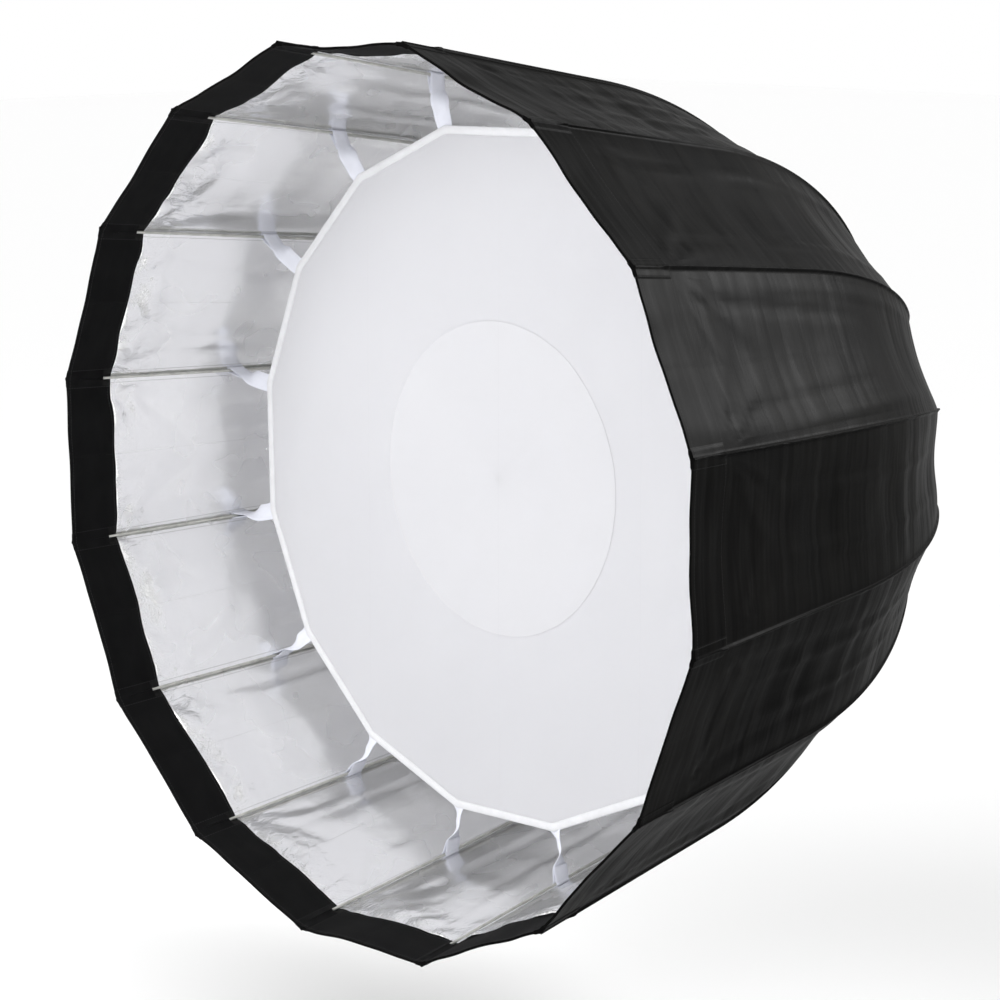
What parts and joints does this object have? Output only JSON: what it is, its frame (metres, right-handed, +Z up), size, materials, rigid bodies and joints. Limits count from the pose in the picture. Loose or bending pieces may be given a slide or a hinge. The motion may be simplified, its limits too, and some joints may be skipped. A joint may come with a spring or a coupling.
{
  "type": "umbrella softbox",
  "caption": "Deep umbrella-framed softbox with hinged ribs, a black canopy with a silver lining, a white inner diffuser and a rotating bayonet mount.",
  "frame": {"origin": "centre of the mount ring's rear face, where the light seats", "axes": "+Y along the optical axis towards the light, the mouth faces -Y, +Z up"},
  "size_m": [1.17, 0.9149, 1.17],
  "materials": {
    "canopy_cloth": "black coated nylon outside, silver lining inside",
    "rib_rod": "pale satin spring rod",
    "rib_foot": "black powder coat",
    "bare_metal": "turned aluminium",
    "black_metal": "black anodised",
    "hub_metal": "satin aluminium",
    "pin_steel": "bright steel",
    "screw_steel": "blackened steel",
    "diffuser_cloth": "white translucent nylon",
    "patch_cloth": "second layer of white nylon",
    "strap_webbing": "white hook-and-loop webbing",
    "knob_plastic": "moulded black plastic"
  },
  "bodies": {
    "mount": {"mount_ring": "bare_metal", "retaining_ring": "black_metal"},
    "hub": {"hub_plate": "hub_metal", "hub_cover": "black_metal", "hinge_pins": "pin_steel", "cover_screws": "screw_steel", "inner_diffuser": "diffuser_cloth", "centre_patch": "patch_cloth", "diffuser_straps": "strap_webbing"},
    "knob": {"lock_knob": "knob_plastic"},
    "rib_01": {"rib_foot_01": "rib_foot", "rib_rod_01": "rib_rod", "canopy_gore_01": "canopy_cloth"},
    "rib_02": {"rib_foot_02": "rib_foot", "rib_rod_02": "rib_rod", "canopy_gore_02": "canopy_cloth"},
    "rib_03": {"rib_foot_03": "rib_foot", "rib_rod_03": "rib_rod", "canopy_gore_03": "canopy_cloth"},
    "rib_04": {"rib_foot_04": "rib_foot", "rib_rod_04": "rib_rod", "canopy_gore_04": "canopy_cloth"},
    "rib_05": {"rib_foot_05": "rib_foot", "rib_rod_05": "rib_rod", "canopy_gore_05": "canopy_cloth"},
    "rib_06": {"rib_foot_06": "rib_foot", "rib_rod_06": "rib_rod", "canopy_gore_06": "canopy_cloth"},
    "rib_07": {"rib_foot_07": "rib_foot", "rib_rod_07": "rib_rod", "canopy_gore_07": "canopy_cloth"},
    "rib_08": {"rib_foot_08": "rib_foot", "rib_rod_08": "rib_rod", "canopy_gore_08": "canopy_cloth"},
    "rib_09": {"rib_foot_09": "rib_foot", "rib_rod_09": "rib_rod", "canopy_gore_09": "canopy_cloth"},
    "rib_10": {"rib_foot_10": "rib_foot", "rib_rod_10": "rib_rod", "canopy_gore_10": "canopy_cloth"},
    "rib_11": {"rib_foot_11": "rib_foot", "rib_rod_11": "rib_rod", "canopy_gore_11": "canopy_cloth"},
    "rib_12": {"rib_foot_12": "rib_foot", "rib_rod_12": "rib_rod", "canopy_gore_12": "canopy_cloth"},
    "rib_13": {"rib_foot_13": "rib_foot", "rib_rod_13": "rib_rod", "canopy_gore_13": "canopy_cloth"},
    "rib_14": {"rib_foot_14": "rib_foot", "rib_rod_14": "rib_rod", "canopy_gore_14": "canopy_cloth"},
    "rib_15": {"rib_foot_15": "rib_foot", "rib_rod_15": "rib_rod", "canopy_gore_15": "canopy_cloth"},
    "rib_16": {"rib_foot_16": "rib_foot", "rib_rod_16": "rib_rod", "canopy_gore_16": "canopy_cloth"}
  },
  "joints": [
    {"name": "hub_turn", "type": "hinge", "parent": "mount", "child": "hub", "pos_m": [0, 0, 0], "axis": [0, 1, 0], "continuous": true},
    {"name": "knob_turn", "type": "hinge", "parent": "hub", "child": "knob", "pos_m": [0, -0.0115, 0], "axis": [0.9998, 0, 0.0218], "range_deg": [0, 360]},
    {"name": "fold_01", "type": "hinge", "parent": "hub", "child": "rib_01", "pos_m": [-0.02273, -0.024, 0.10251], "axis": [0.9763, 0, 0.2164], "range_deg": [0, 32], "deforming": ["inner_diffuser", "centre_patch", "diffuser_straps", "canopy_gore_01", "canopy_gore_02", "canopy_gore_03", "canopy_gore_04", "canopy_gore_05", "canopy_gore_06", "canopy_gore_07", "canopy_gore_08", "canopy_gore_09", "canopy_gore_10", "canopy_gore_11", "canopy_gore_12", "canopy_gore_13", "canopy_gore_14", "canopy_gore_15", "canopy_gore_16"]},
    {"name": "fold_02", "type": "hinge", "parent": "hub", "child": "rib_02", "pos_m": [-0.06023, -0.024, 0.08601], "axis": [0.8192, 0, 0.5736], "range_deg": [0, 32]},
    {"name": "fold_03", "type": "hinge", "parent": "hub", "child": "rib_03", "pos_m": [-0.08856, -0.024, 0.05642], "axis": [0.5373, 0, 0.8434], "range_deg": [0, 32]},
    {"name": "fold_04", "type": "hinge", "parent": "hub", "child": "rib_04", "pos_m": [-0.1034, -0.024, 0.01823], "axis": [0.1736, 0, 0.9848], "range_deg": [0, 32]},
    {"name": "fold_05", "type": "hinge", "parent": "hub", "child": "rib_05", "pos_m": [-0.10251, -0.024, -0.02273], "axis": [-0.2164, 0, 0.9763], "range_deg": [0, 32]},
    {"name": "fold_06", "type": "hinge", "parent": "hub", "child": "rib_06", "pos_m": [-0.08601, -0.024, -0.06023], "axis": [-0.5736, 0, 0.8192], "range_deg": [0, 32]},
    {"name": "fold_07", "type": "hinge", "parent": "hub", "child": "rib_07", "pos_m": [-0.05642, -0.024, -0.08856], "axis": [-0.8434, 0, 0.5373], "range_deg": [0, 32]},
    {"name": "fold_08", "type": "hinge", "parent": "hub", "child": "rib_08", "pos_m": [-0.01823, -0.024, -0.1034], "axis": [-0.9848, 0, 0.1736], "range_deg": [0, 32]},
    {"name": "fold_09", "type": "hinge", "parent": "hub", "child": "rib_09", "pos_m": [0.02273, -0.024, -0.10251], "axis": [-0.9763, 0, -0.2164], "range_deg": [0, 32]},
    {"name": "fold_10", "type": "hinge", "parent": "hub", "child": "rib_10", "pos_m": [0.06023, -0.024, -0.08601], "axis": [-0.8192, 0, -0.5736], "range_deg": [0, 32]},
    {"name": "fold_11", "type": "hinge", "parent": "hub", "child": "rib_11", "pos_m": [0.08856, -0.024, -0.05642], "axis": [-0.5373, 0, -0.8434], "range_deg": [0, 32]},
    {"name": "fold_12", "type": "hinge", "parent": "hub", "child": "rib_12", "pos_m": [0.1034, -0.024, -0.01823], "axis": [-0.1736, 0, -0.9848], "range_deg": [0, 32]},
    {"name": "fold_13", "type": "hinge", "parent": "hub", "child": "rib_13", "pos_m": [0.10251, -0.024, 0.02273], "axis": [0.2164, 0, -0.9763], "range_deg": [0, 32]},
    {"name": "fold_14", "type": "hinge", "parent": "hub", "child": "rib_14", "pos_m": [0.08601, -0.024, 0.06023], "axis": [0.5736, 0, -0.8192], "range_deg": [0, 32]},
    {"name": "fold_15", "type": "hinge", "parent": "hub", "child": "rib_15", "pos_m": [0.05642, -0.024, 0.08856], "axis": [0.8434, 0, -0.5373], "range_deg": [0, 32]},
    {"name": "fold_16", "type": "hinge", "parent": "hub", "child": "rib_16", "pos_m": [0.01823, -0.024, 0.1034], "axis": [0.9848, 0, -0.1736], "range_deg": [0, 32]}
  ],
  "couplings": [
    {"joint": "fold_02", "follows": "fold_01", "ratio": 1},
    {"joint": "fold_03", "follows": "fold_01", "ratio": 1},
    {"joint": "fold_04", "follows": "fold_01", "ratio": 1},
    {"joint": "fold_05", "follows": "fold_01", "ratio": 1},
    {"joint": "fold_06", "follows": "fold_01", "ratio": 1},
    {"joint": "fold_07", "follows": "fold_01", "ratio": 1},
    {"joint": "fold_08", "follows": "fold_01", "ratio": 1},
    {"joint": "fold_09", "follows": "fold_01", "ratio": 1},
    {"joint": "fold_10", "follows": "fold_01", "ratio": 1},
    {"joint": "fold_11", "follows": "fold_01", "ratio": 1},
    {"joint": "fold_12", "follows": "fold_01", "ratio": 1},
    {"joint": "fold_13", "follows": "fold_01", "ratio": 1},
    {"joint": "fold_14", "follows": "fold_01", "ratio": 1},
    {"joint": "fold_15", "follows": "fold_01", "ratio": 1},
    {"joint": "fold_16", "follows": "fold_01", "ratio": 1}
  ]
}
